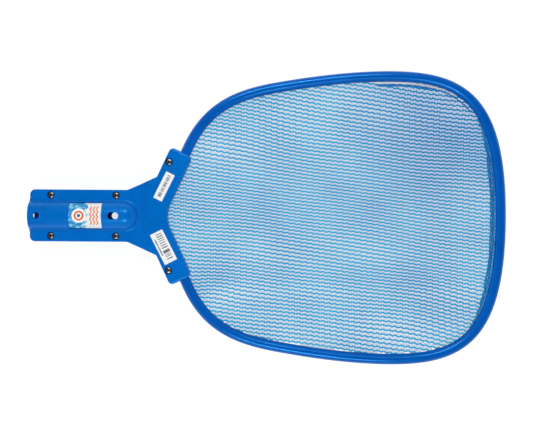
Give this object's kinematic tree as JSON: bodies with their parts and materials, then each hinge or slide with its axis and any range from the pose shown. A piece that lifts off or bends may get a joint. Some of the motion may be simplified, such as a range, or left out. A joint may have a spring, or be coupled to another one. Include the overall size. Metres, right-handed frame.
{
  "type": "leaf skimmer net",
  "caption": "Shallow leaf skimmer net on a bent hoop, held by a two-part moulded yoke with a round socket for a pole.",
  "frame": {"origin": "centre of the pole socket at its mouth, on the bore's axis, in the parting plane of the two shells", "axes": "+X along the handle from the mouth of the socket to the front of the hoop, +Z out of the front side with the labels and screw heads, +Y across the hoop"},
  "size_m": [0.6408, 0.3954, 0.04],
  "materials": {
    "shell_plastic": "satin moulded plastic with a fine grain",
    "hoop_plastic": "glossy extruded plastic",
    "hoop_tube": "drawn tube, plain",
    "net_knit": "open warp knit of fine blue thread",
    "cord": "twisted cord",
    "screw_steel": "dull zinc",
    "label_film": "printed film, satin",
    "sticker_paper": "coated paper"
  },
  "bodies": {
    "root": {"front_shell": "shell_plastic", "back_shell": "shell_plastic", "handle_screws": "screw_steel", "wing_screws": "screw_steel", "hoop_sleeve": "hoop_plastic", "hoop_core": "hoop_tube", "hem_cord": "cord", "net": "net_knit", "front_label": "label_film", "plain_sticker": "sticker_paper", "striped_sticker": "sticker_paper"}
  },
  "joints": []
}
